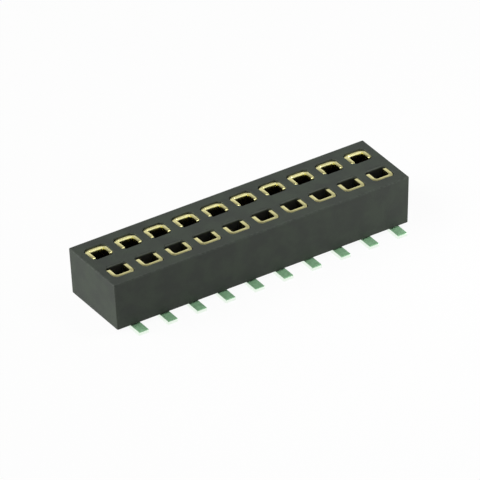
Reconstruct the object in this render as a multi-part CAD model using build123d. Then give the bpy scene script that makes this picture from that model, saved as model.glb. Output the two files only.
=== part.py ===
"""Low-profile dual-row surface-mount socket strip, two rows of ten positions.

One moulded housing carries twenty stamped-and-formed contacts. Millimetres, +Z up. The origin is on
the board plane, under the centre of the contact grid: the contact feet stand on Z = 0. X runs along
the strip and the two rows lie either side of Y = 0.

Each contact is one strip of sheet metal. A U-shaped collar lines three sides of the pin opening, two
spring arms hang from the collar and pinch the pin below it, and the spine behind them runs down
through the housing floor and bends outwards into a flat solder foot.
"""
from build123d import *
import os

# Contact grid
PITCH = 1.27
ROW_SPACING = 1.27
POSITIONS = 10

# Housing
HOUSING_HEIGHT = 1.97
END_WALL = 0.32
SIDE_WALL = 0.44
END_LEAN = 0.09
CORNER_RADIUS = 0.05
RIM_CHAMFER = 0.04
FLOOR_THICKNESS = 0.30
UNDERSIDE_GAP = 0.05

# Contact sheet and the space it leaves for the pin
SHEET = 0.15
BEND_INSIDE_RADIUS = 0.08
PIN_SPACE_WIDTH = 0.60
PIN_TO_SPINE = 0.285
PIN_TO_ARM_TIP = 0.18

# Collar
COLLAR_HEIGHT = 0.50
MOUTH_RECESS = 0.03
MOUTH_HEIGHT = 0.16
MOUTH_FLARE = 0.04
MOUTH_LEAD_IN = 0.02
COLLAR_END_CHAMFER = 0.07
NECK_HEIGHT = 0.06

# Spring arms
PINCH_GAP = 0.34
ARM_DEPTH = 0.34
ARM_LEAD = 0.10
ARM_TIP_GAP = 0.47
ARM_TIP_CLEARANCE = 0.12
ARM_BEND_RADIUS = 0.12
PINCH_SHARE = 0.68

# Spine, barbs and foot
SPINE_WIDTH = 0.80
BARB_BASE = 0.14
BARB_CREST = 0.05
BARB_HEIGHTS = (0.22, 0.62)
FOOT_WIDTH = 0.41
FOOT_OFFSET = 0.11
FOOT_REACH = 0.53
FOOT_TIP_CHAMFER = 0.04
TAIL_BEND_RADIUS = 0.10

# Clearances between the housing and the contacts
POCKET_SIDE_CLEARANCE = 0.02
POCKET_BACK_CLEARANCE = 0.02
ARM_TIP_TO_WEB = 0.11
TAIL_SLOT_CLEARANCE = 0.04
PIN_PASSAGE = 0.50
PIN_LEAD_IN = 0.05
POCKET_CORNER_ACROSS = 0.135
POCKET_CORNER_DEPTH = 0.10

# Heights above the board plane
HOUSING_BOTTOM = SHEET + UNDERSIDE_GAP
HOUSING_TOP = HOUSING_BOTTOM + HOUSING_HEIGHT
FLOOR_TOP = HOUSING_BOTTOM + FLOOR_THICKNESS
MOUTH_TOP = HOUSING_TOP - MOUTH_RECESS
COLLAR_BOTTOM = MOUTH_TOP - COLLAR_HEIGHT
MOUTH_START = MOUTH_TOP - MOUTH_HEIGHT

# Places across one position, measured outwards from the pin axis
SPINE_INNER = PIN_TO_SPINE
SPINE_OUTER = SPINE_INNER + SHEET
COLLAR_HALF = PIN_SPACE_WIDTH / 2 + SHEET
POCKET_HALF = COLLAR_HALF + POCKET_SIDE_CLEARANCE
POCKET_OUTER = SPINE_OUTER + POCKET_BACK_CLEARANCE
POCKET_INNER = -PIN_TO_ARM_TIP - ARM_TIP_TO_WEB
MOUTH_OUTER = POCKET_OUTER + MOUTH_FLARE
FOOT_END = MOUTH_OUTER + SIDE_WALL + FOOT_REACH

# Housing outside
HOUSING_LENGTH = (POSITIONS - 1) * PITCH + 2 * (POCKET_HALF + END_WALL)
HOUSING_WIDTH = ROW_SPACING + 2 * (MOUTH_OUTER + SIDE_WALL)


def block(x_range, y_range, z_range):
    """A box between the given limits."""
    sizes = [high - low for low, high in (x_range, y_range, z_range)]
    centre = [(high + low) / 2 for low, high in (x_range, y_range, z_range)]
    return Pos(*centre) * Box(*sizes)


def sheet_profile(plane, points, radius, side, thickness=SHEET):
    """Section of a folded strip: one sheet thickness to the given side of a bent line."""
    line = FilletPolyline(*points, radius=radius)
    return plane * make_face(line.offset_2d(thickness, kind=Kind.INTERSECTION, side=side))


def collar_section(height, flare=0, lead_in=0):
    """The U of the collar at a height, its spine out by the flare and its inside thinned by the lead-in."""
    outer = SPINE_OUTER + flare
    corner = BEND_INSIDE_RADIUS + SHEET
    tip = -PIN_TO_ARM_TIP
    points = [(-COLLAR_HALF, tip), (-COLLAR_HALF, outer), (COLLAR_HALF, outer), (COLLAR_HALF, tip)]
    return sheet_profile(Plane.XY.offset(height), points, corner, Side.RIGHT, SHEET - lead_in)


def collar():
    """U collar, straight below, coined open at its mouth, with the top corners of its ends cut off."""
    straight = extrude(collar_section(COLLAR_BOTTOM), MOUTH_START - COLLAR_BOTTOM)
    rim = collar_section(MOUTH_TOP, MOUTH_FLARE, MOUTH_LEAD_IN)
    mouth = loft([collar_section(MOUTH_START), rim], ruled=True)
    end_corners = mouth.edges().filter_by(Axis.X).group_by(Axis.Z)[-1].group_by(Axis.Y)[0]
    return straight + chamfer(end_corners, COLLAR_END_CHAMFER)


def spring_arm():
    """The arm on the +X side: it hangs from the collar, closes on the pin and kicks out at its tip."""
    tip_z = FLOOR_TOP + ARM_TIP_CLEARANCE
    pinch_z = COLLAR_BOTTOM - ARM_LEAD - PINCH_SHARE * (COLLAR_BOTTOM - ARM_LEAD - tip_z)
    points = [
        (PIN_SPACE_WIDTH / 2, COLLAR_BOTTOM),
        (PIN_SPACE_WIDTH / 2, COLLAR_BOTTOM - ARM_LEAD),
        (PINCH_GAP / 2, pinch_z),
        (ARM_TIP_GAP / 2, tip_z),
    ]
    section = sheet_profile(Plane.XZ, points, ARM_BEND_RADIUS, Side.LEFT)
    return Pos(0, ARM_DEPTH - PIN_TO_ARM_TIP, 0) * extrude(section, ARM_DEPTH)


def barb(height):
    """A retention tooth on the +X edge of the spine, ramped below and square above."""
    root = SPINE_WIDTH / 2
    low = FLOOR_TOP + height
    high = low + BARB_BASE
    crest = POCKET_HALF
    outline = Polyline((root, low), (crest, high - BARB_CREST), (crest, high), (root, high), close=True)
    tooth = extrude(Plane.XZ * make_face(outline), SHEET)
    return Pos(0, SPINE_OUTER, 0) * tooth


def spine():
    """Flat plate behind the pin, seated on the pocket floor and necked below the collar bends."""
    flat_half = COLLAR_HALF - BEND_INSIDE_RADIUS - SHEET
    across = (SPINE_INNER, SPINE_OUTER)
    plate = block((-SPINE_WIDTH / 2, SPINE_WIDTH / 2), across, (FLOOR_TOP, COLLAR_BOTTOM - NECK_HEIGHT))
    neck = block((-flat_half, flat_half), across, (COLLAR_BOTTOM - NECK_HEIGHT, COLLAR_BOTTOM))
    teeth = [barb(height) for height in BARB_HEIGHTS]
    return plate + neck + teeth + [mirror(tooth, about=Plane.YZ) for tooth in teeth]


def tail():
    """Tail from one side of the spine down through the floor, bent outwards into the flat foot."""
    points = [(SPINE_INNER, FLOOR_TOP), (SPINE_INNER, 0), (FOOT_END, 0)]
    section = sheet_profile(Plane.YZ.offset(-FOOT_OFFSET), points, TAIL_BEND_RADIUS + SHEET, Side.LEFT)
    strip = extrude(section, FOOT_WIDTH / 2, both=True)
    tip_edges = strip.edges().filter_by(Axis.X).group_by(Axis.Y)[-1]
    return chamfer(tip_edges, FOOT_TIP_CHAMFER)


def contact():
    """One complete contact about its pin axis, its foot pointing along +Y."""
    arm = spring_arm()
    return collar() + arm + mirror(arm, about=Plane.YZ) + spine() + tail()


def pocket_well(outer, z_range):
    """Straight-sided well out to the given wall, its two corners at the web cut off."""
    well = block((-POCKET_HALF, POCKET_HALF), (POCKET_INNER, outer), z_range)
    web_corners = well.edges().filter_by(Axis.Z).group_by(Axis.Y)[0]
    web_wall = well.faces().sort_by(Axis.Y)[0]
    return chamfer(web_corners, POCKET_CORNER_ACROSS, POCKET_CORNER_DEPTH, reference=web_wall)


def pocket():
    """The space that one contact and its pin take out of the housing."""
    chamber = pocket_well(POCKET_OUTER, (FLOOR_TOP, HOUSING_TOP))
    mouth = pocket_well(MOUTH_OUTER, (MOUTH_START - POCKET_SIDE_CLEARANCE, HOUSING_TOP))
    slot_half = FOOT_WIDTH / 2 + TAIL_SLOT_CLEARANCE
    slot_sides = (-FOOT_OFFSET - slot_half, -FOOT_OFFSET + slot_half)
    slot = block(slot_sides, (0, POCKET_OUTER), (HOUSING_BOTTOM, FLOOR_TOP))
    passage_sides = (-PIN_PASSAGE / 2, PIN_PASSAGE / 2)
    passage = block(passage_sides, passage_sides, (HOUSING_BOTTOM, FLOOR_TOP))
    return chamber + mouth + slot + passage + pin_lead_in()


def pin_lead_in():
    """The sloped edge of the web between the cut-off corners of the pocket."""
    edge = (POCKET_INNER, HOUSING_TOP)
    set_back = (POCKET_INNER - PIN_LEAD_IN, HOUSING_TOP)
    below = (POCKET_INNER, HOUSING_TOP - PIN_LEAD_IN)
    outline = Polyline(edge, set_back, below, close=True)
    return extrude(Plane.YZ * make_face(outline), POCKET_HALF - POCKET_CORNER_ACROSS, both=True)


def housing_plan(height, inset):
    """Plan of the housing at a height, drawn in by the rim chamfer and by the lean of the ends."""
    lean = END_LEAN * (HOUSING_TOP - height) / HOUSING_HEIGHT
    length = HOUSING_LENGTH - 2 * (lean + inset)
    width = HOUSING_WIDTH - 2 * inset
    return Plane.XY.offset(height) * RectangleRounded(length, width, CORNER_RADIUS)


def housing_block():
    """Housing outside: both ends lean in towards the board, with rounded corners and a broken rim."""
    rim_bottom = HOUSING_TOP - RIM_CHAMFER
    body = loft([housing_plan(HOUSING_BOTTOM, 0), housing_plan(rim_bottom, 0)], ruled=True)
    rim = loft([housing_plan(rim_bottom, 0), housing_plan(HOUSING_TOP, RIM_CHAMFER)], ruled=True)
    return body + rim


def positions():
    """Node name ending and place of each position, back row first, left to right."""
    for row, turn, side in (("back", 0, 1), ("front", 180, -1)):
        for index in range(POSITIONS):
            x = (index - (POSITIONS - 1) / 2) * PITCH
            place = Pos(x, side * ROW_SPACING / 2, 0) * Rot(0, 0, turn)
            yield f"{row}_{index + 1:02d}", place


def write_node(name, shape):
    """Write one sub-part as a STEP file named after its node."""
    shape.label = name
    export_step(shape, f"parts/{name}.step")


def main():
    """Build every sub-part and write it."""
    os.makedirs("parts", exist_ok=True)
    one_contact = contact()
    one_pocket = pocket()
    write_node("housing", housing_block() - [place * one_pocket for _, place in positions()])
    for ending, place in positions():
        write_node(f"contact_{ending}", place * one_contact)


main()
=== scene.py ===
"""Looks of a low-profile dual-row surface-mount socket strip.

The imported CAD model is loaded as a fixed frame. The moulded housing and the twenty folded
sheet-metal contacts are modelled on it with bmesh operators, dressed with procedural finishes
and stood on a pale floor under soft studio light. Shapes are formed in millimetres and placed
in metres.
"""
import logging
import math
import random
from collections.abc import Callable, Iterable, Iterator, Sequence
from dataclasses import dataclass
from enum import Enum

import bmesh
import bpy
from bmesh.types import BMEdge, BMFace, BMVert
from bpy.types import Material, NodeSocket, Object
from mathutils import Matrix, Vector


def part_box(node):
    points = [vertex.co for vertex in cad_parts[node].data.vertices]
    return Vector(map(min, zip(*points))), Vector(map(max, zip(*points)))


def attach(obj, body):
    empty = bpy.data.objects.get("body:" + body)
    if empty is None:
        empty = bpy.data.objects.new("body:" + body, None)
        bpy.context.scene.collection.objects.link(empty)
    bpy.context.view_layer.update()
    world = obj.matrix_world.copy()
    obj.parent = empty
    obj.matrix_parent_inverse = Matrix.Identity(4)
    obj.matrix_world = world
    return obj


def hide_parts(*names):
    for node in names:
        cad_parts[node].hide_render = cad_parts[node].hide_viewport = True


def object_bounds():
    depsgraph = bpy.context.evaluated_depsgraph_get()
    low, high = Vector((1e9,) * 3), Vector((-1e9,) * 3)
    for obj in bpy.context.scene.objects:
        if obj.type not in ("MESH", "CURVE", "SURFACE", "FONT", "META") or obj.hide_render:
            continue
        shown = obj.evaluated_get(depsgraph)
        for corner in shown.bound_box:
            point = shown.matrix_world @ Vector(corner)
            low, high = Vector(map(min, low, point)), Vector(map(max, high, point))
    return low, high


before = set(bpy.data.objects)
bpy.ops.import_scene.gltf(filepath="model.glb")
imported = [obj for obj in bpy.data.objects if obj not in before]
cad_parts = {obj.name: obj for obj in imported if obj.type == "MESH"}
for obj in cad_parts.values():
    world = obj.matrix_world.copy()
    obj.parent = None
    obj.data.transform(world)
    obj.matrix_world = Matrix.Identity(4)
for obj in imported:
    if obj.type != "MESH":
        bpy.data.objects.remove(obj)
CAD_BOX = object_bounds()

LOG = logging.getLogger("socket_strip")
MM = 0.001  # metres
TOUCH = 1e-5  # millimetres
CRISP_ANGLE = 50.0  # degrees
COARSE_DETAIL, FINE_DETAIL = 3, 2  # octaves of a noise
MIDDLE = 0.5  # of a noise
WHITE = (1.0, 1.0, 1.0)
SHEARED = "sheared"

Colour = Place = tuple[float, float, float]
Span = tuple[float, float]
Edges = Sequence[BMEdge]
Faces = Sequence[BMFace]


class Axis(Enum):
    """The directions of the row frame."""

    X = Vector((1, 0, 0))
    Y = Vector((0, 1, 0))
    Z = Vector((0, 0, 1))


class Slot(Enum):
    """The record's material slots."""

    HOUSING = "housing"
    CONTACT = "contact"


class Row(Enum):
    """The two rows of positions, by the way their solder feet point along Y."""

    BACK = 1
    FRONT = -1


# ---- shader graph


class Number:
    """A number on a shader socket. Arithmetic on it adds Math nodes."""

    def __init__(self, graph: "Graph", socket: NodeSocket) -> None:
        """Wrap an output socket of the graph."""
        self.graph = graph
        self.socket = socket

    def maths(self, operation: str, *operands: "Number | float") -> "Number":
        """Add one Math node.

        Args:
            operation: The Math node's operation.
            operands: Its inputs, in order.

        Returns:
            The node's result.
        """
        inputs = dict(enumerate(operands))
        node = self.graph.node("ShaderNodeMath", {"operation": operation}, inputs)
        return Number(self.graph, node.outputs[0])

    def __add__(self, other: "Number | float") -> "Number":
        """Sum."""
        return self.maths("ADD", self, other)

    __radd__ = __add__

    def __sub__(self, other: "Number | float") -> "Number":
        """Difference."""
        return self.maths("SUBTRACT", self, other)

    def __rsub__(self, other: "Number | float") -> "Number":
        """Difference, taken from a plain number."""
        return self.maths("SUBTRACT", other, self)

    def __mul__(self, other: "Number | float") -> "Number":
        """Product."""
        return self.maths("MULTIPLY", self, other)

    __rmul__ = __mul__

    def __abs__(self) -> "Number":
        """Size without sign."""
        return self.maths("ABSOLUTE", self)

    def least(self, other: "Number | float") -> "Number":
        """The smaller of two numbers."""
        return self.maths("MINIMUM", self, other)

    def most(self, other: "Number | float") -> "Number":
        """The larger of two numbers."""
        return self.maths("MAXIMUM", self, other)

    def rise(self, start: float, end: float) -> "Number":
        """Ease from 0 at start to 1 at end.

        Args:
            start: Where the rise begins.
            end: Where the rise is complete; it may lie below start.

        Returns:
            The eased share, from 0 to 1.
        """
        if end < start:
            return 1 - self.rise(end, start)
        node = self.graph.node(
            "ShaderNodeMapRange",
            {"interpolation_type": "SMOOTHSTEP"},
            {"Value": self, "From Min": start, "From Max": end},
        )
        return Number(self.graph, node.outputs[0])


class Graph:
    """The node tree of a material or of the world, filled through one way of adding nodes."""

    def __init__(self, owner: Material | bpy.types.World) -> None:
        """Clear the owner's node tree.

        Args:
            owner: The material or world that the nodes belong to.
        """
        owner.use_nodes = True
        self.tree = owner.node_tree
        self.tree.nodes.clear()

    def node(
        self, kind: str, settings: dict | None = None, inputs: dict | None = None
    ) -> bpy.types.Node:
        """Add a node.

        Args:
            kind: The node's type.
            settings: Its properties, set before its sockets.
            inputs: Values or links, by socket name or place.

        Returns:
            The new node.
        """
        made = self.tree.nodes.new(kind)
        for name, value in (settings or {}).items():
            setattr(made, name, value)
        for key, value in (inputs or {}).items():
            self.feed(self.pick(made.inputs, key), value)
        return made

    @staticmethod
    def pick(sockets: bpy.types.bpy_prop_collection, key: str | int) -> NodeSocket:
        """The socket at a place, or the one in use that has a name."""
        named = (s for s in sockets if s.name == key and s.enabled)
        return sockets[key] if isinstance(key, int) else next(named)

    def feed(self, socket: NodeSocket, value: object) -> None:
        """Link a socket, or set its plain value.

        Args:
            socket: The input to feed.
            value: A Number, a socket, or a plain value.
        """
        source = value.socket if isinstance(value, Number) else value
        if isinstance(source, NodeSocket):
            self.tree.links.new(source, socket)
        elif isinstance(source, tuple) and len(source) == 3 and socket.type == "RGBA":
            socket.default_value = (*source, 1.0)
        else:
            socket.default_value = source

    def place(self) -> NodeSocket:
        """The shaded point in the row frame, in millimetres."""
        where = self.node("ShaderNodeTexCoord").outputs["Object"]
        return self.scaled(where, 1 / MM)

    def parts(self, vector: NodeSocket) -> list[Number]:
        """The three parts of a vector."""
        split = self.node("ShaderNodeSeparateXYZ", inputs={"Vector": vector})
        return [Number(self, socket) for socket in split.outputs]

    def stretched(self, vector: NodeSocket, by: Colour) -> NodeSocket:
        """A vector with each part multiplied by its own factor."""
        made = self.node("ShaderNodeVectorMath", {"operation": "MULTIPLY"}, {0: vector, 1: by})
        return made.outputs["Vector"]

    def noise(self, vector: NodeSocket, scale: float, detail: int = FINE_DETAIL) -> Number:
        """Soft noise from 0 to 1, read at a vector, with some cells for each of its units."""
        inputs = {"Vector": vector, "Scale": scale, "Detail": detail}
        return Number(self, self.node("ShaderNodeTexNoise", inputs=inputs).outputs[0])

    def mix(self, share: Number | float, first: object, second: object) -> NodeSocket:
        """Blend two colours.

        Args:
            share: How much of the second colour shows.
            first: The colour at share 0.
            second: The colour at share 1.

        Returns:
            The blended colour.
        """
        inputs = {"Factor": share, "A": first, "B": second}
        made = self.node("ShaderNodeMix", {"data_type": "RGBA"}, inputs)
        return next(s for s in made.outputs if s.enabled)

    def scaled(self, vector: NodeSocket, by: Number | float) -> NodeSocket:
        """A vector or a colour with each part multiplied by the same factor."""
        inputs = {"Vector": vector, "Scale": by}
        return self.node("ShaderNodeVectorMath", {"operation": "SCALE"}, inputs).outputs["Vector"]

    def bump(self, height: Number) -> NodeSocket:
        """A normal tilted by a relief, whose height is in millimetres."""
        inputs = {"Height": height, "Distance": MM, "Strength": 1.0}
        return self.node("ShaderNodeBump", inputs=inputs).outputs["Normal"]

    def surface(self, inputs: dict) -> None:
        """Finish a material with one principled surface that has these values and links."""
        shader = self.node("ShaderNodeBsdfPrincipled", inputs=inputs)
        self.node("ShaderNodeOutputMaterial", inputs={"Surface": shader.outputs["BSDF"]})

    def seen(self) -> Number:
        """Tell rays that see from rays that light.

        Returns:
            1 for what the eye, a mirror or glass sees, and 0 for light that falls on surfaces.
        """
        path = self.node("ShaderNodeLightPath").outputs
        rays = ("Camera", "Glossy", "Transmission")
        eye, mirror, glass = (Number(self, path[f"Is {name} Ray"]) for name in rays)
        return (eye + mirror + glass).least(1)


# ---- finishes


@dataclass(frozen=True)
class MouldedPolymer:
    """Dark glass-filled polymer, straight from the mould.

    The tool's fine spark-eroded grain gives the relief. The filler clouds the colour a little,
    flow leaves long soft streaks, and handled edges are slightly paler and smoother; their paler
    colour also paints a highlight along the edges. The pockets' walls are painted darker, a
    painted shade, below lead-ins painted pale, a painted highlight. Lengths are in millimetres,
    and a scale is in cells for each millimetre.
    """

    name: str = "moulded_polymer"
    base: Colour = (0.047, 0.054, 0.046)
    clouded: Colour = (0.055, 0.067, 0.052)
    # Pale colour of worn outer edges, and also a painted highlight along them and on the lead-ins.
    edge: Colour = (0.088, 0.100, 0.086)
    # Painted shade: the darker colour painted on the pockets' walls, and where it reaches.
    pocket_wall_shade: Colour = (0.016, 0.017, 0.018)
    inner_inset: Span = (0.25, 0.30)
    wall_shade_depth: Span = (0.06, 0.13)
    # Depths of the painted highlight on the lead-ins below the pockets' rims.
    highlight_below_rim: Span = (0.004, 0.012)
    lead_in: Span = (0.06, 0.05)
    cloud_scale: float = 1.3
    cloud_share: Span = (0.35, 0.68)
    cloud_relief: float = 0.0035
    fleck_scale: float = 9.0
    fleck_tone: float = 0.08
    fleck_relief: float = 0.001
    fleck_roughness: float = 0.10
    streak_scales: Colour = (0.25, 2.5, 1.6)
    streak_tone: float = 0.13
    lowest_tone: float = 0.90
    grain: float = 0.0022
    grain_pitch: float = 0.055
    # Worn outer edges, which also carry a painted highlight.
    wear_and_highlight_reach: Span = (0.09, 0.02)
    wear_and_highlight_share: Span = (0.35, 0.65)
    wear_and_highlight_tint: float = 0.35
    wear_polish: float = 0.16
    roughness: float = 0.62
    specular: float = 0.2

    def make(self, box: tuple[Vector, Vector]) -> Material:
        """Build the material.

        Args:
            box: Lowest and highest corner of the housing, in metres.

        Returns:
            The finished material.
        """
        material = bpy.data.materials.new(self.name)
        graph = Graph(material)
        point = graph.place()
        x, y, z = graph.parts(point)
        low, high = (corner / MM for corner in box)
        clouds = graph.noise(point, self.cloud_scale, COARSE_DETAIL)
        flecks = graph.noise(point, self.fleck_scale)
        streaks = graph.noise(graph.stretched(point, self.streak_scales), 1.0, COARSE_DETAIL)
        grain = graph.noise(point, 1 / self.grain_pitch)
        to_end = (abs(x) - high.x) * -1
        to_side = (abs(y) - high.y) * -1
        to_rim = (z - high.z) * -1
        upper_edges = (to_end.most(to_rim)).least(to_side.most(to_rim))
        to_edge = (to_end.most(to_side)).least(upper_edges)
        # Worn outer edges are paler and smoother; the paler colour is also a painted highlight
        # along the edges.
        wear_and_edge_highlight = to_edge.rise(*self.wear_and_highlight_reach) * flecks.rise(*self.wear_and_highlight_share)
        body = graph.mix(clouds.rise(*self.cloud_share), self.base, self.clouded)
        within = to_end.least(to_side).rise(*self.inner_inset)
        # Painted highlight: the lead-in slopes just below the pockets' rims are painted pale.
        lead_in_highlight = within * to_rim.rise(*self.highlight_below_rim) * to_rim.rise(*self.lead_in)
        pale = graph.mix((wear_and_edge_highlight * self.wear_and_highlight_tint).most(lead_in_highlight), body, self.edge)
        # Painted shade: the pockets' walls, away from the outer skin and below the lead-ins, are
        # painted darker.
        with_wall_shade = graph.mix(within * to_rim.rise(*self.wall_shade_depth), pale, self.pocket_wall_shade)
        tone = self.lowest_tone + self.streak_tone * streaks + self.fleck_tone * flecks
        uneven = self.cloud_relief * (clouds - MIDDLE) + self.fleck_relief * (flecks - MIDDLE)
        roughness = self.roughness - self.wear_polish * wear_and_edge_highlight
        graph.surface(
            {
                "Base Color": graph.scaled(with_wall_shade, tone),
                "Roughness": roughness + self.fleck_roughness * (flecks - MIDDLE),
                "Specular IOR Level": self.specular,
                "Normal": graph.bump(self.grain * (grain - MIDDLE) + uneven),
            }
        )
        return material


@dataclass(frozen=True)
class PlatedStrip:
    """Rolled copper alloy, gold over the mating end and tin over the tail and foot.

    Rolling leaves fine lines along the strip, the sheared edges are coarser, and the tin is dull
    and slightly mottled where it was reflowed. The gold is painted darker deeper in the pocket, a
    painted shade, and the tin's sheared faces are painted near white, partly their bright cut
    metal and partly a painted reflection. Lengths are in millimetres, and a scale is in cells for
    each millimetre.
    """

    name: str = "plated_strip"
    gold: Colour = (0.90, 0.86, 0.43)
    gold_deep: Colour = (0.70, 0.61, 0.25)
    # Painted shade: the gold painted darker deep in the pocket, and the depths it takes.
    gold_shaded_deep: Colour = (0.34, 0.285, 0.12)
    gold_shade_span: Span = (0.03, 0.20)
    tin: Colour = (0.41, 0.73, 0.44)
    tin_dull: Colour = (0.345, 0.635, 0.37)
    # Sheared tin faces: bright cut metal, painted near white as a painted reflection of the floor.
    tin_cut_and_glint: Colour = (0.88, 0.97, 0.87)
    tin_lustre: float = 0.45
    plating_line: Span = (0.45, 0.39)
    creep: float = 0.10
    creep_scale: float = 12.0
    mottle_scale: float = 7.0
    gold_mottle: Span = (0.50, 0.80)
    tin_mottle: Span = (0.35, 0.65)
    mottle_tint: float = 0.5
    sheared_tint: float = 0.25
    fine_scale: float = 45.0
    across_lines: float = 60.0
    along_lines: float = 2.5
    roughness: float = 0.11
    dull_roughness: float = 0.42
    sheared_roughness: float = 0.16
    mottle_roughness: float = 0.06
    line_relief: float = 0.00015
    sheared_relief: float = 0.0002
    tin_relief: float = 0.0012

    def make(self, top: float) -> Material:
        """Build the material.

        Args:
            top: The height of the contacts' rims, in millimetres.

        Returns:
            The finished material.
        """
        material = bpy.data.materials.new(self.name)
        graph = Graph(material)
        point = graph.place()
        _, _, z = graph.parts(point)
        attribute = graph.node("ShaderNodeAttribute", {"attribute_name": SHEARED})
        sheared = Number(graph, attribute.outputs["Fac"])
        mottle = graph.noise(point, self.mottle_scale, COARSE_DETAIL)
        fine = graph.noise(point, self.fine_scale)
        across, along = self.across_lines, self.along_lines
        upright = graph.noise(graph.stretched(point, (across, across, along)), 1.0)
        lengthwise = graph.noise(graph.stretched(point, (across, along, across)), 1.0)
        creep = graph.noise(point, self.creep_scale, COARSE_DETAIL)
        tinned = (z + self.creep * (creep - MIDDLE)).rise(*self.plating_line)
        lines = upright * (1 - tinned) + lengthwise * tinned
        deep = mottle.rise(*self.gold_mottle) * self.mottle_tint + sheared * self.sheared_tint
        rich = graph.mix(deep, self.gold, self.gold_deep)
        # Painted shade: the gold is painted darker the deeper it lies below the rim.
        gold = graph.mix((top - z).rise(*self.gold_shade_span), rich, self.gold_shaded_deep)
        reflowed = graph.mix(mottle.rise(*self.tin_mottle), self.tin, self.tin_dull)
        # Painted reflection: the sheared tin faces are painted near white, over their bright cut
        # metal.
        tin = graph.mix(sheared, reflowed, self.tin_cut_and_glint)
        dull = tinned * (1 - sheared)
        roughness = self.roughness + self.dull_roughness * dull
        roughness = roughness + self.sheared_roughness * sheared + self.mottle_roughness * mottle
        relief = self.line_relief * lines + self.sheared_relief * sheared * fine
        relief = relief + self.tin_relief * tinned * mottle
        graph.surface(
            {
                "Base Color": graph.mix(tinned, gold, tin),
                "Metallic": 1 - (1 - self.tin_lustre) * dull,
                "Roughness": roughness,
                "Normal": graph.bump(relief),
            }
        )
        return material


# ---- forming


def only(kind: type, items: Iterable) -> list:
    """The items of one kind."""
    return [item for item in items if isinstance(item, kind)]


def set_out(name: str, data: bpy.types.ID) -> Object:
    """Put an object into the scene.

    Args:
        name: The object's name.
        data: Its mesh, lamp or camera.

    Returns:
        The object.
    """
    made = bpy.data.objects.new(name, data)
    bpy.context.scene.collection.objects.link(made)
    return made


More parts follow.
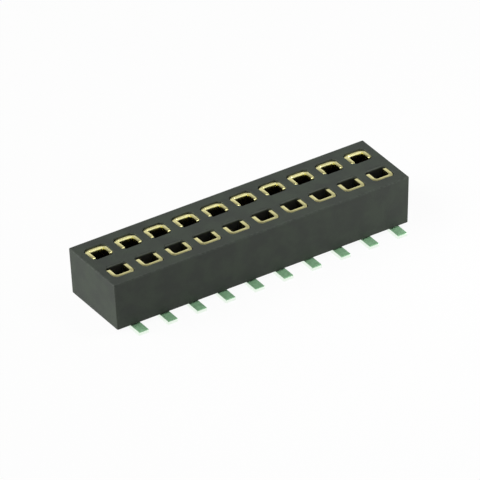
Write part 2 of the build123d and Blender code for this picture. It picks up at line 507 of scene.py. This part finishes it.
class Workpiece:
    """A mesh in millimetres and the forming operations that the parts share."""

    def __init__(self) -> None:
        """Start with nothing."""
        self.mesh = bmesh.new()

    def everything(self) -> list[BMVert | BMEdge | BMFace]:
        """All vertices, edges and faces."""
        return [*self.mesh.verts, *self.mesh.edges, *self.mesh.faces]

    def faces(self, test: Callable[[Vector], bool]) -> Faces:
        """Faces whose middle passes the test."""
        return [face for face in self.mesh.faces if test(face.calc_center_median())]

    def edges(self, test: Callable[[Vector], bool]) -> Edges:
        """Edges whose two ends pass the test."""
        return [edge for edge in self.mesh.edges if all(test(vert.co) for vert in edge.verts)]

    def cut(self, axis: Axis, places: Iterable[float]) -> None:
        """Divide the faces by planes square to an axis.

        Args:
            axis: The planes' normal.
            places: Where each plane crosses the axis.
        """
        for place in places:
            bmesh.ops.bisect_plane(
                self.mesh,
                geom=self.everything(),
                dist=TOUCH,
                plane_co=axis.value * place,
                plane_no=axis.value,
            )

    def slice(self, faces: Faces, point: Vector, normal: Vector) -> None:
        """Divide some faces by one slanted plane.

        Args:
            faces: The faces to divide.
            point: A point of the plane.
            normal: The plane's normal.
        """
        edges = {edge for face in faces for edge in face.edges}
        verts = {vert for face in faces for vert in face.verts}
        geom = [*verts, *edges, *faces]
        bmesh.ops.bisect_plane(self.mesh, geom=geom, dist=TOUCH, plane_co=point, plane_no=normal)

    def drop(self, faces: Faces) -> None:
        """Remove faces, with the edges and vertices that only they use."""
        bmesh.ops.delete(self.mesh, geom=faces, context="FACES")

    def draw(self, edges: Edges, along: Vector) -> Edges:
        """Draw an edge chain out into a flat strip.

        Args:
            edges: The chain.
            along: How far the strip goes.

        Returns:
            The chain at the strip's far end.
        """
        drawn = bmesh.ops.extrude_edge_only(self.mesh, edges=edges)["geom"]
        bmesh.ops.translate(self.mesh, verts=only(BMVert, drawn), vec=along)
        return only(BMEdge, drawn)

    def bend(
        self, edges: Edges, centre: Vector, axis: Vector, angle: float, steps: int
    ) -> Edges:
        """Carry an edge chain round a bend.

        Args:
            edges: The chain.
            centre: A point on the bend's axis.
            axis: The direction of that axis.
            angle: How far the chain turns, in radians.
            steps: Faces along the bend.

        Returns:
            The chain at the bend's far end.
        """
        verts = list({vert for edge in edges for vert in edge.verts})
        spun = bmesh.ops.spin(
            self.mesh,
            geom=[*verts, *edges],
            cent=centre,
            axis=axis,
            angle=angle,
            steps=steps,
            use_merge=False,
        )
        return only(BMEdge, spun["geom_last"])

    def fold(
        self, edges: Edges, path: Sequence[Vector], radius: float, steps: int = 8
    ) -> Edges:
        """Carry an edge chain along straight runs joined by bends.

        Args:
            edges: The chain, which starts at the path's first point.
            path: The first point, the corner of each bend, and the last point.
            radius: Every bend's radius.
            steps: Faces along a quarter turn.

        Returns:
            The chain at the path's far end.
        """
        here = path[0]
        for corner, beyond in zip(path[1:-1], path[2:]):
            arriving = (corner - here).normalized()
            leaving = (beyond - corner).normalized()
            turn = arriving.angle(leaving)
            axis = arriving.cross(leaving).normalized()
            start = corner - arriving * radius * math.tan(turn / 2)
            if (start - here).length > TOUCH:
                edges = self.draw(edges, start - here)
            count = max(2, round(steps * turn / (math.pi / 2)))
            edges = self.bend(edges, start + axis.cross(arriving) * radius, axis, turn, count)
            here = corner + leaving * radius * math.tan(turn / 2)
        return self.draw(edges, path[-1] - here)

    def sink(self, faces: Faces, along: Vector) -> Faces:
        """Push a region of faces in, with walls round it.

        Args:
            faces: The region.
            along: How far it goes.

        Returns:
            The region at its new place.
        """
        made = bmesh.ops.extrude_face_region(self.mesh, geom=faces)["geom"]
        self.drop(faces)
        bmesh.ops.translate(self.mesh, verts=only(BMVert, made), vec=along)
        return only(BMFace, made)

    def round_over(
        self, items: Edges | Sequence[BMVert], width: float, steps: int = 2, affect: str = "EDGES"
    ) -> None:
        """Round edges over, or corners of a flat sheet in its own plane.

        Args:
            items: The edges, or the corners' vertices.
            width: How far the rounding reaches from each.
            steps: Faces across the rounding, or edges round the corner.
            affect: EDGES for edges, VERTICES for corners.
        """
        bmesh.ops.bevel(
            self.mesh,
            geom=items,
            offset=width,
            offset_type="OFFSET",
            segments=steps,
            profile=0.5,
            affect=affect,
            clamp_overlap=True,
            material=-1,
        )

    def creased(self, degrees: float = CRISP_ANGLE) -> Edges:
        """Edges where two faces meet at more than an angle."""
        limit = math.radians(degrees)
        return [e for e in self.mesh.edges if e.is_manifold and e.calc_face_angle() > limit]

    def close_seams(self) -> None:
        """Merge vertices that lie on each other."""
        bmesh.ops.remove_doubles(self.mesh, verts=self.mesh.verts[:], dist=TOUCH)

    def finish(
        self,
        name: str,
        placing: Matrix,
        material: Material,
        crease: float = CRISP_ANGLE,
        flats: bool = False,
    ) -> Object:
        """Turn the workpiece into a placed object with a finish.

        Args:
            name: The object's name.
            placing: Where it stands in the row frame, in millimetres.
            material: Its finish.
            crease: The angle in degrees past which an edge stays crisp.
            flats: Whether its flats are true, and not a little soft as a formed sheet's are.

        Returns:
            The object, at the origin with its place in its mesh.
        """
        bmesh.ops.dissolve_degenerate(self.mesh, dist=TOUCH, edges=self.mesh.edges[:])
        in_metres = Matrix.Scale(MM, 4) @ placing
        bmesh.ops.transform(self.mesh, matrix=in_metres, verts=self.mesh.verts[:])
        self.mesh.normal_update()
        for face in self.mesh.faces:
            face.smooth = True
        for edge in self.creased(crease):
            edge.smooth = False
        leaning = self.leaning_normals(crease) if flats else []
        data = bpy.data.meshes.new(name)
        self.mesh.to_mesh(data)
        self.mesh.free()
        if leaning:
            data.normals_split_custom_set(leaning)
        data.materials.append(material)
        return set_out(name, data)

    def leaning_normals(self, crease: float) -> list[Vector]:
        """Corner normals that lean on the wider faces, so that flats stay flat up to their rounds.

        Args:
            crease: The angle in degrees past which two faces aren't blended.

        Returns:
            A normal for each corner of each face, in the mesh's own order.
        """
        limit = math.radians(crease)
        pull = {face: face.normal * (face.calc_area() / MM**2) ** 2 for face in self.mesh.faces}
        normals = []
        for face in self.mesh.faces:
            for vert in face.verts:
                near = [f for f in vert.link_faces if f.normal.angle(face.normal) < limit]
                normals.append(sum((pull[f] for f in near), Vector()).normalized())
        return normals


# ---- housing


@dataclass
class MouldedHousing:
    """The housing, moulded round a stepped core for each contact.

    One position is formed about its pin axis, with its outer wall on the +Y side, and is then
    repeated along each row, the front row turned half round.
    """

    pitch: float = 1.27
    positions: int = 10
    web_half: float = 0.635
    pocket_half: float = 0.47
    pocket_inner: float = -0.29
    pocket_outer: float = 0.455
    mouth_outer: float = 0.495
    mouth_depth: float = 0.21
    floor: float = 0.30
    web_corner: Span = (0.135, 0.10)
    back_corner: Span = (0.115, 0.115)
    lead_in: float = 0.05
    slot: Span = (-0.355, 0.135)
    passage_half: float = 0.25
    end_lean: float = 0.09
    corner_radius: float = 0.05
    corner_steps: int = 4
    rim_round: float = 0.04
    rim_steps: int = 3
    pocket_round: float = 0.012
    base_round: float = 0.015
    base_steps: int = 2
    crisp_angle: float = 35.0

    def __post_init__(self) -> None:
        """Take the outside from the frame."""
        low, high = (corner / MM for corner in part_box("housing"))
        self.half_length, self.half_width = high.x, high.y
        self.bottom, self.top = low.z, high.z
        self.height = self.top - self.bottom
        self.floor_top = self.bottom + self.floor
        self.work = Workpiece()

    def build(self) -> Workpiece:
        """Form the housing.

        Returns:
            The closed moulding.
        """
        self.lay_position()
        self.cut_corners()
        self.sink_core()
        self.repeat()
        self.close_ends()
        self.dress_edges()
        return self.work

    def lay_position(self) -> None:
        """Lay one position's top, underside and outer wall, divided along the core's edges."""
        outer = self.half_width - self.web_half
        middle = Vector((0, (outer - self.web_half) / 2, (self.bottom + self.top) / 2))
        size = Matrix.Diagonal((self.pitch, outer + self.web_half, self.height, 1))
        bmesh.ops.create_cube(self.work.mesh, size=1, matrix=Matrix.Translation(middle) @ size)
        seams = self.work.faces(
            lambda p: abs(abs(p.x) - self.pitch / 2) < TOUCH or abs(p.y + self.web_half) < TOUCH
        )
        self.work.drop(seams)
        inside = self.pocket_half - self.web_corner[0]
        halves = (self.pocket_half, inside, self.passage_half, *(abs(side) for side in self.slot))
        self.work.cut(Axis.X, (*halves, *(-half for half in halves)))
        corners = (self.pocket_inner + self.web_corner[1], self.mouth_outer - self.back_corner[1])
        outer_edges = (self.pocket_outer, self.mouth_outer)
        self.work.cut(Axis.Y, (self.pocket_inner - self.lead_in, self.pocket_inner, *corners))
        self.work.cut(Axis.Y, (-self.passage_half, 0, self.passage_half, *outer_edges))

    def cut_corners(self) -> None:
        """Divide the top along the cut-off corners of the pocket."""
        for edge, inward, (across, deep) in (
            (self.pocket_inner, 1, self.web_corner),
            (self.mouth_outer, -1, self.back_corner),
        ):
            for side in (1, -1):
                corner = Vector((side * self.pocket_half, edge, self.top))
                near = self.work.faces(
                    lambda p: p.z > self.top - TOUCH
                    and 0 < (corner.x - p.x) * side < across
                    and 0 < (p.y - corner.y) * inward < deep
                )
                start = corner + Vector((0, inward * deep, 0))
                self.work.slice(near, start, Vector((side * deep, -inward * across, 0)))

    def in_mouth(self, p: Vector) -> bool:
        """Tell what lies in the pocket's mouth.

        Args:
            p: A point in the position's own frame.

        Returns:
            Whether the point lies within the mouth's plan.
        """
        x = self.pocket_half - abs(p.x)
        if x < 0 or not self.pocket_inner < p.y < self.mouth_outer:
            return False
        inner = (p.y - self.pocket_inner, *self.web_corner)
        outer = (self.mouth_outer - p.y, *self.back_corner)
        return all(x / across + y / deep > 1 for y, across, deep in (inner, outer))

    def in_floor_opening(self, p: Vector) -> bool:
        """Whether a point lies within the tail's slot or the pin's passage."""
        in_slot = self.slot[0] < p.x < self.slot[1] and 0 < p.y < self.pocket_outer
        return in_slot or max(abs(p.x), abs(p.y)) < self.passage_half

    def sink_core(self) -> None:
        """Sink the mouth, the chamber under its ledge and the openings through the floor."""
        inside = self.pocket_half - self.web_corner[0] + TOUCH
        mouth = self.work.faces(lambda p: p.z > self.top - TOUCH and self.in_mouth(p))
        mouth = self.work.sink(mouth, Vector((0, 0, -self.mouth_depth)))
        chamber = [face for face in mouth if face.calc_center_median().y < self.pocket_outer]
        ledge = self.top - self.mouth_depth
        floor = self.work.sink(chamber, Vector((0, 0, self.floor_top - ledge)))
        openings = [face for face in floor if self.in_floor_opening(face.calc_center_median())]
        self.work.drop(self.work.sink(openings, Vector((0, 0, -self.floor))))
        under = self.work.faces(lambda p: p.z < self.bottom + TOUCH and self.in_floor_opening(p))
        self.work.drop(under)
        for vert in self.work.mesh.verts:
            on_edge = abs(vert.co.y - self.pocket_inner) < TOUCH and vert.co.z > self.top - TOUCH
            if on_edge and abs(vert.co.x) < inside:
                vert.co.z -= self.lead_in
        self.work.close_seams()

    def repeat(self) -> None:
        """Repeat the position along the back row and, turned half round, along the front row."""
        pattern = self.work.everything()
        for row in Row:
            facing = Matrix.Rotation(0 if row is Row.BACK else math.pi, 4, "Z")
            for index in range(self.positions):
                x = (index - (self.positions - 1) / 2) * self.pitch
                made = bmesh.ops.duplicate(self.work.mesh, geom=pattern)["geom"]
                place = Matrix.Translation((x, row.value * self.web_half, 0)) @ facing
                bmesh.ops.transform(self.work.mesh, matrix=place, verts=only(BMVert, made))
        self.work.drop(only(BMFace, pattern))
        self.work.close_seams()

    def close_ends(self) -> None:
        """Draw both ends out to the end walls, close them and lean them in towards the board."""
        last = self.positions * self.pitch / 2
        for side in (1, -1):
            at_end = self.work.edges(lambda p: abs(p.x - side * last) < TOUCH)
            outline = [edge for edge in at_end if edge.is_boundary]
            drawn = self.work.draw(outline, Vector((side * (self.half_length - last), 0, 0)))
            bmesh.ops.contextual_create(self.work.mesh, geom=drawn)
        for vert in self.work.mesh.verts:
            if abs(vert.co.x) > self.half_length - TOUCH:
                lean = self.end_lean * (self.top - vert.co.z) / self.height
                vert.co.x -= math.copysign(lean, vert.co.x)
        bmesh.ops.recalc_face_normals(self.work.mesh, faces=self.work.mesh.faces[:])

    def dress_edges(self) -> None:
        """Round the corners, the rim, the pockets' mouths and the lower edges."""
        width, length = self.half_width - TOUCH, self.half_length - self.end_lean - TOUCH
        corners = self.work.edges(lambda p: abs(p.x) > length and abs(p.y) > width)
        upright = [edge for edge in corners if edge.calc_length() > self.height / 2]
        self.work.round_over(upright, self.corner_radius, self.corner_steps)
        sharp = set(self.work.creased())
        deep = self.top - self.lead_in - TOUCH
        mouths = self.work.edges(lambda p: p.z > deep and not self.on_outside(p))
        self.work.round_over([edge for edge in mouths if edge in sharp], self.pocket_round)
        rim = (self.top, self.rim_round, self.rim_steps)
        base = (self.bottom, self.base_round, self.base_steps)
        for level, reach, steps in (rim, base):
            sharp = set(self.work.creased())
            ring = self.work.edges(lambda p: abs(p.z - level) < TOUCH and self.on_outside(p))
            self.work.round_over([edge for edge in ring if edge in sharp], reach, steps)
        for vert in self.work.mesh.verts:
            vert.co.z = min(vert.co.z, self.top)

    def on_outside(self, p: Vector) -> bool:
        """Whether a point lies in the housing's outer skin."""
        length, width = self.half_length - self.end_lean, self.half_width
        return max(abs(p.x) - length, abs(p.y) - width) > -2 * self.corner_radius

    def make(self, material: Material, body: str = "root") -> None:
        """Build and dress the housing.

        Args:
            material: Its finish.
            body: The body that it rides on.
        """
        piece = self.build().finish(
            "moulded_housing", Matrix.Identity(4), material, self.crisp_angle, flats=True
        )
        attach(piece, body)
        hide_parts("housing")
        LOG.info("%s: %d faces", piece.name, len(piece.data.polygons))


# ---- contacts


@dataclass
class SocketContact:
    """One contact, folded from a single strip of sheet, about its pin axis with its foot along +Y.

    The strip is drawn as its pin-side face and then given its thickness away from the pin.
    """

    sheet: float = 0.15
    pin_space: float = 0.60
    pin_to_spine: float = 0.285
    pin_to_arm_tip: float = 0.18
    collar_bend: float = 0.08
    collar_height: float = 0.50
    collar_end_round: float = 0.07
    collar_end_steps: int = 5
    mouth_height: float = 0.16
    mouth_flare: float = 0.046
    mouth_lead_in: float = 0.005
    rim_lean_share: float = 0.35
    bend_draw_in: float = 0.015
    neck_height: float = 0.06
    arm_depth: float = 0.34
    arm_lead: float = 0.10
    arm_bend: float = 0.12
    arm_steps: int = 24
    pinch_gap: float = 0.34
    pinch_share: float = 0.68
    arm_tip_gap: float = 0.47
    arm_tip_height: float = 0.62
    spine_half: float = 0.40
    spine_bottom: float = 0.50
    barb_crest_half: float = 0.47
    barb_heights: tuple[float, ...] = (0.22, 0.62)
    barb_base: float = 0.14
    barb_crest: float = 0.05
    foot_half: float = 0.205
    foot_offset: float = 0.11
    foot_end: float = 1.465
    foot_tip_round: float = 0.04
    foot_tip_steps: int = 3
    tail_bend: float = 0.25
    tail_steps: int = 10
    sheared_round: float = 0.02
    top: float = 2.14

    def __post_init__(self) -> None:
        """Work out the heights and half widths that the folds share."""
        self.collar_bottom = self.top - self.collar_height
        self.mouth_start = self.top - self.mouth_height
        self.neck_bottom = self.collar_bottom - self.neck_height
        self.pin_half = self.pin_space / 2
        self.flat_half = self.pin_half - self.collar_bend
        self.bend_start = self.pin_to_spine - self.collar_bend
        self.arm_back = self.arm_depth - self.pin_to_arm_tip
        self.rim_lean = self.rim_lean_share * self.mouth_flare / self.mouth_height
        self.work = Workpiece()

    def reach(self, turn: float) -> float:
        """Tell how far the foot reaches from the pin axis.

        Args:
            turn: A small turn about that axis, in degrees.

        Returns:
            The reach in millimetres.
        """
        angle = math.radians(turn)
        across = self.foot_half - math.copysign(self.foot_offset, angle)
        return self.foot_end * math.cos(angle) + across * abs(math.sin(angle))

    def build(self) -> Workpiece:
        """Form the contact.

        Returns:
            The closed sheet-metal shape.
        """
        self.blank_spine()
        for side in (1, -1):
            self.fold_collar(side)
            self.fold_arm(side)
        self.fold_tail()
        self.thicken()
        self.coin_mouth()
        self.dress_edges()
        return self.work

    def blank_spine(self) -> None:
        """Blank the spine with its barbs and neck."""
        height = self.top - self.spine_bottom
        middle = Matrix.Translation((0, self.pin_to_spine, self.spine_bottom + height / 2))
        upright = Matrix.Rotation(math.pi / 2, 4, "X")
        place = middle @ upright @ Matrix.Diagonal((2 * self.barb_crest_half, height, 1, 1))
        bmesh.ops.create_grid(self.work.mesh, x_segments=1, y_segments=1, size=0.5, matrix=place)
        barbs = [self.spine_bottom + height for height in self.barb_heights]
        steps = (0, self.barb_base - self.barb_crest, self.barb_base)
        corners = [low + step for low in barbs for step in steps]
        tail_sides = (-self.foot_offset - self.foot_half, -self.foot_offset + self.foot_half)
        halves = (self.flat_half, self.spine_half)
        self.work.cut(Axis.X, (*tail_sides, *halves, *(-half for half in halves)))
        self.work.cut(Axis.Z, (*corners, self.neck_bottom, self.collar_bottom, self.mouth_start))
        margins = self.work.faces(lambda p: abs(p.x) > self.spine_half)
        heights = {face: face.calc_center_median().z for face in margins}
        toothed = [(low, low + self.barb_base) for low in barbs]
        self.work.drop([f for f, z in heights.items() if not any(a < z < b for a, b in toothed)])
        beside = self.work.faces(lambda p: abs(p.x) > self.flat_half and p.z > self.neck_bottom)
        self.work.drop(beside)
        within = self.spine_half - TOUCH
        for low in barbs:
            for side in (1, -1):
                ramp = self.work.edges(lambda p: abs(p.z - low) < TOUCH and p.x * side > within)
                root = Vector((side * self.spine_half, self.pin_to_spine, low))
                bmesh.ops.pointmerge(self.work.mesh, verts=list(ramp[0].verts), merge_co=root)

    def fold_collar(self, side: int) -> None:
        """Fold one side of the collar round the pin opening and round its free top corner.

        Args:
            side: 1 or -1, its way along X.
        """
        low = self.collar_bottom - TOUCH
        flat = self.work.edges(lambda p: abs(p.x * side - self.flat_half) < TOUCH and p.z > low)
        path = [
            (self.flat_half, self.pin_to_spine),
            (self.pin_half, self.pin_to_spine),
            (self.pin_half, -self.pin_to_arm_tip),
        ]
        end = self.work.fold(flat, [Vector((side * x, y, 0)) for x, y in path], self.collar_bend)
        corner = max((vert for edge in end for vert in edge.verts), key=lambda vert: vert.co.z)
        self.work.round_over([corner], self.collar_end_round, self.collar_end_steps, "VERTICES")

    def fold_arm(self, side: int) -> None:
        """Fold one spring arm down from the collar: in to the pinch and out again at its tip.

        Args:
            side: 1 or -1, its way along X.
        """
        lead_end = self.collar_bottom - self.arm_lead
        pinch = lead_end - self.pinch_share * (lead_end - self.arm_tip_height)
        self.work.cut(Axis.Y, (self.arm_back,))
        root = self.work.edges(
            lambda p: abs(p.z - self.collar_bottom) < TOUCH
            and abs(p.x * side - self.pin_half) < TOUCH
            and p.y < self.arm_back + TOUCH
        )
        path = [
            (self.pin_half, self.collar_bottom),
            (self.pin_half, lead_end),
            (self.pinch_gap / 2, pinch),
            (self.arm_tip_gap / 2, self.arm_tip_height),
        ]
        bends = [Vector((side * x, 0, z)) for x, z in path]
        self.work.fold(root, bends, self.arm_bend, self.arm_steps)

    def fold_tail(self) -> None:
        """Fold the tail out under the housing wall into the flat foot."""
        root = self.work.edges(
            lambda p: abs(p.z - self.spine_bottom) < TOUCH
            and abs(p.x + self.foot_offset) < self.foot_half + TOUCH
        )
        path = [(self.pin_to_spine, self.spine_bottom), (self.pin_to_spine, 0), (self.foot_end, 0)]
        bends = [Vector((0, y, z)) for y, z in path]
        self.work.fold(root, bends, self.tail_bend, self.tail_steps)

    def thicken(self) -> None:
        """Give the sheet its thickness away from the pin, marking the sheared edge faces."""
        self.work.close_seams()
        bmesh.ops.recalc_face_normals(self.work.mesh, faces=self.work.mesh.faces[:])
        y, low = self.pin_to_spine, self.spine_bottom
        spine = self.work.faces(lambda p: abs(p.y - y) < TOUCH and p.z > low)
        if spine[0].normal.y > 0:
            bmesh.ops.reverse_faces(self.work.mesh, faces=self.work.mesh.faces[:])
        sheared = self.work.mesh.faces.layers.float.new(SHEARED)
        sheet = set(self.work.mesh.faces)
        outline = [edge for edge in self.work.mesh.edges if edge.is_boundary]
        bmesh.ops.solidify(self.work.mesh, geom=self.work.mesh.faces[:], thickness=self.sheet)
        for face in {face for edge in outline for face in edge.link_faces} - sheet:
            face[sheared] = 1.0

    def coin_mouth(self) -> None:
        """Coin the mouth.

        Its spine side leans out with its rim and its pin side thins towards the top, and the
        outside of each bend, stretched by the fold, has drawn the rim down a little.
        """
        for vert in self.work.mesh.verts:
            share = (vert.co.z - self.mouth_start) / self.mouth_height
            if share <= 0:
                continue
            across = max(abs(vert.co.x) - self.flat_half, 0)
            out = Vector((across, max(vert.co.y - self.bend_start, 0), 0))
            round_bend = 2 * out.x * out.y / max(out.length_squared, TOUCH)
            outside = max(out.length - self.collar_bend, 0) / self.sheet
            vert.co.z -= self.bend_draw_in * share * round_bend * min(outside, 1)
            vert.co.z -= self.rim_lean * share * max(vert.co.y - self.pin_to_spine, 0)
            out.x = math.copysign(out.x, vert.co.x)
            if out.length < self.collar_bend + self.sheet / 2:
                vert.co += out.normalized() * self.mouth_lead_in * share
            if vert.co.y > self.bend_start - TOUCH:
                vert.co.y += self.mouth_flare * share

    def dress_edges(self) -> None:
        """Round the foot's cut end and break every sheared edge."""
        tip = self.work.edges(lambda p: p.y > self.foot_end - TOUCH)
        level = [edge for edge in tip if abs(edge.verts[0].co.z - edge.verts[1].co.z) < TOUCH]
        self.work.round_over(level, self.foot_tip_round, self.foot_tip_steps)
        self.work.round_over(self.work.creased(), self.sheared_round)


@dataclass
class ContactRows:
    """The two rows of contacts, one piece for each CAD contact."""

    body: str = "root"
    seed: int = 20
    turn_spread: float = 0.5
    flare_spread: float = 0.006

    def nodes(self) -> Iterator[tuple[str, Row]]:
        """Go through the CAD contacts.

        Yields:
            Each one's name and row.
        """
        for name in sorted(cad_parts):
            if name.startswith("contact_"):
                yield name, Row.BACK if "back" in name else Row.FRONT

    def placing(self, name: str, row: Row, end: float, turn: float) -> Matrix:
        """Where a contact stands.

        Args:
            name: The CAD contact.
            row: The row it is in.
            end: How far its foot reaches from its pin axis, in millimetres.
            turn: A small turn about the pin axis, in degrees.

        Returns:
            Its placing in the row frame, in millimetres.
        """
        low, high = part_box(name)
        x = (low.x + high.x) / 2 / MM
        y = (high.y / MM - end) if row is Row.BACK else (low.y / MM + end)
        facing = math.radians(turn) + (0 if row is Row.BACK else math.pi)
        return Matrix.Translation((x, y, 0)) @ Matrix.Rotation(facing, 4, "Z")

    def build(self, material: Material) -> None:
        """Build and dress every contact.

        Args:
            material: The contacts' finish.
        """
        chance = random.Random(self.seed)
        for name, row in self.nodes():
            wider = chance.uniform(-self.flare_spread, self.flare_spread)
            turn = chance.uniform(-self.turn_spread, self.turn_spread)
            flare = SocketContact.mouth_flare + wider
            contact = SocketContact(mouth_flare=flare, top=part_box(name)[1].z / MM)
            placing = self.placing(name, row, contact.reach(turn), turn)
            piece = contact.build().finish(f"formed_{name}", placing, material)
            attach(piece, self.body)
            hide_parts(name)
            LOG.info("%s: %d faces", piece.name, len(piece.data.polygons))


# ---- studio


@dataclass(frozen=True)
class SoftLamp:
    """A square soft box aimed at the object.

    Angles are in degrees and lengths in metres. Its level is the share of a matt surface's own
    colour that it shows when it lights it squarely.
    """

    name: str
    azimuth: float
    elevation: float
    distance: float
    side: float
    level: float

    def hang(self, aim: Vector) -> None:
        """Hang the lamp.

        Args:
            aim: What it points at, in metres.
        """
        data = bpy.data.lights.new(self.name, "AREA")
        data.shape = "SQUARE"
        data.size = self.side
        data.energy = self.level * (math.pi * self.distance) ** 2
        lamp = set_out(self.name, data)
        lamp.visible_camera = False
        towards = direction(self.azimuth, self.elevation)
        lamp.location = aim + towards * self.distance
        lamp.rotation_euler = towards.to_track_quat("Z", "Y").to_euler()


def direction(azimuth: float, elevation: float) -> Vector:
    """The way from the object to a place round it: azimuth 0 is in front and 90 to the right."""
    a, e = math.radians(azimuth), math.radians(elevation)
    return Vector((math.sin(a) * math.cos(e), -math.cos(a) * math.cos(e), math.sin(e)))


@dataclass(frozen=True)
class ViewPoint:
    """The camera: where it stands round the object, how it is rolled and its lens.

    Angles are in degrees, the lens and sensor in millimetres, and places in metres.
    """

    azimuth: float = -32.165
    elevation: float = 32.80
    roll: float = -1.505
    lens: float = 738.6
    sensor: float = 36.0
    clip: Span = (0.01, 10.0)
    distance: float = 0.3649
    aim: Place = (-0.075e-3, -0.083e-3, 1.0145e-3)

    def set_up(self) -> None:
        """Make the scene's camera."""
        data = bpy.data.cameras.new("view_point")
        data.sensor_width = self.sensor
        data.lens = self.lens
        data.clip_start, data.clip_end = self.clip
        camera = set_out("view_point", data)
        back = direction(self.azimuth, self.elevation)
        place = Matrix.Translation(Vector(self.aim) + back * self.distance)
        level = back.to_track_quat("Z", "Y").to_matrix().to_4x4()
        camera.matrix_world = place @ level @ Matrix.Rotation(math.radians(self.roll), 4, "Z")
        bpy.context.scene.camera = camera


@dataclass(frozen=True)
class Studio:
    """The plain pale floor, the surroundings and the soft lamps."""

    floor_half: float = 0.5
    floor_drop: float = 2e-6
    floor_colour: Colour = (0.90, 0.90, 0.89)
    shadow_share: float = 0.055
    ambient: float = 0.155
    backdrop_top: Span = (0.72, 0.48)
    lamps: tuple[SoftLamp, ...] = (
        SoftLamp("left_box", -107, 33, 0.6, 0.5, 1.08),
        SoftLamp("front_right_box", 46, 62, 0.030, 0.013, 0.27),
        SoftLamp("low_right_strip", 62, 7, 0.019, 0.006, 0.23),
    )

    def set_up(self) -> None:
        """Make the floor, the surroundings and the lamps."""
        self.lay_floor()
        self.surround()
        middle = (CAD_BOX[0] + CAD_BOX[1]) / 2
        for lamp in self.lamps:
            lamp.hang(middle)

    def lay_floor(self) -> None:
        """Lay the floor just under the feet."""
        mesh = bmesh.new()
        place = Matrix.Translation((0, 0, -self.floor_drop))
        bmesh.ops.create_grid(mesh, x_segments=1, y_segments=1, size=self.floor_half, matrix=place)
        data = bpy.data.meshes.new("floor")
        mesh.to_mesh(data)
        mesh.free()
        material = bpy.data.materials.new("pale_floor")
        graph = Graph(material)
        matt = graph.node("ShaderNodeBsdfDiffuse", inputs={"Color": self.floor_colour})
        glow = graph.node("ShaderNodeEmission", inputs={"Color": WHITE, "Strength": 1.0})
        share = graph.seen() * (1 - self.shadow_share)
        parts = {0: share, 1: matt.outputs[0], 2: glow.outputs[0]}
        both = graph.node("ShaderNodeMixShader", inputs=parts)
        graph.node("ShaderNodeOutputMaterial", inputs={"Surface": both.outputs[0]})
        data.materials.append(material)
        floor = set_out("floor", data)

    def surround(self) -> None:
        """Surround the object.

        The eye and mirrors see a white backdrop under a dim ceiling, and surfaces get a dim light.
        """
        world = bpy.data.worlds.new("surroundings")
        graph = Graph(world)
        _, _, height = graph.parts(graph.node("ShaderNodeTexCoord").outputs["Generated"])
        backdrop = graph.seen() * height.rise(*self.backdrop_top)
        strength = self.ambient + backdrop * (1 - self.ambient)
        sky = graph.node("ShaderNodeBackground", inputs={"Color": WHITE, "Strength": strength})
        graph.node("ShaderNodeOutputWorld", inputs={"Surface": sky.outputs[0]})
        bpy.context.scene.world = world


def main() -> None:
    """Set the view, build and dress the object, and light it."""
    logging.basicConfig(level=logging.INFO, format="%(name)s: %(message)s")
    scene = bpy.context.scene
    scene.view_settings.view_transform = "Standard"
    ViewPoint().set_up()
    MouldedHousing().make(MouldedPolymer().make(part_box("housing")))
    ContactRows().build(PlatedStrip().make(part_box("contact_front_01")[1].z / MM))
    Studio().set_up()


if __name__ == "__main__":
    main()
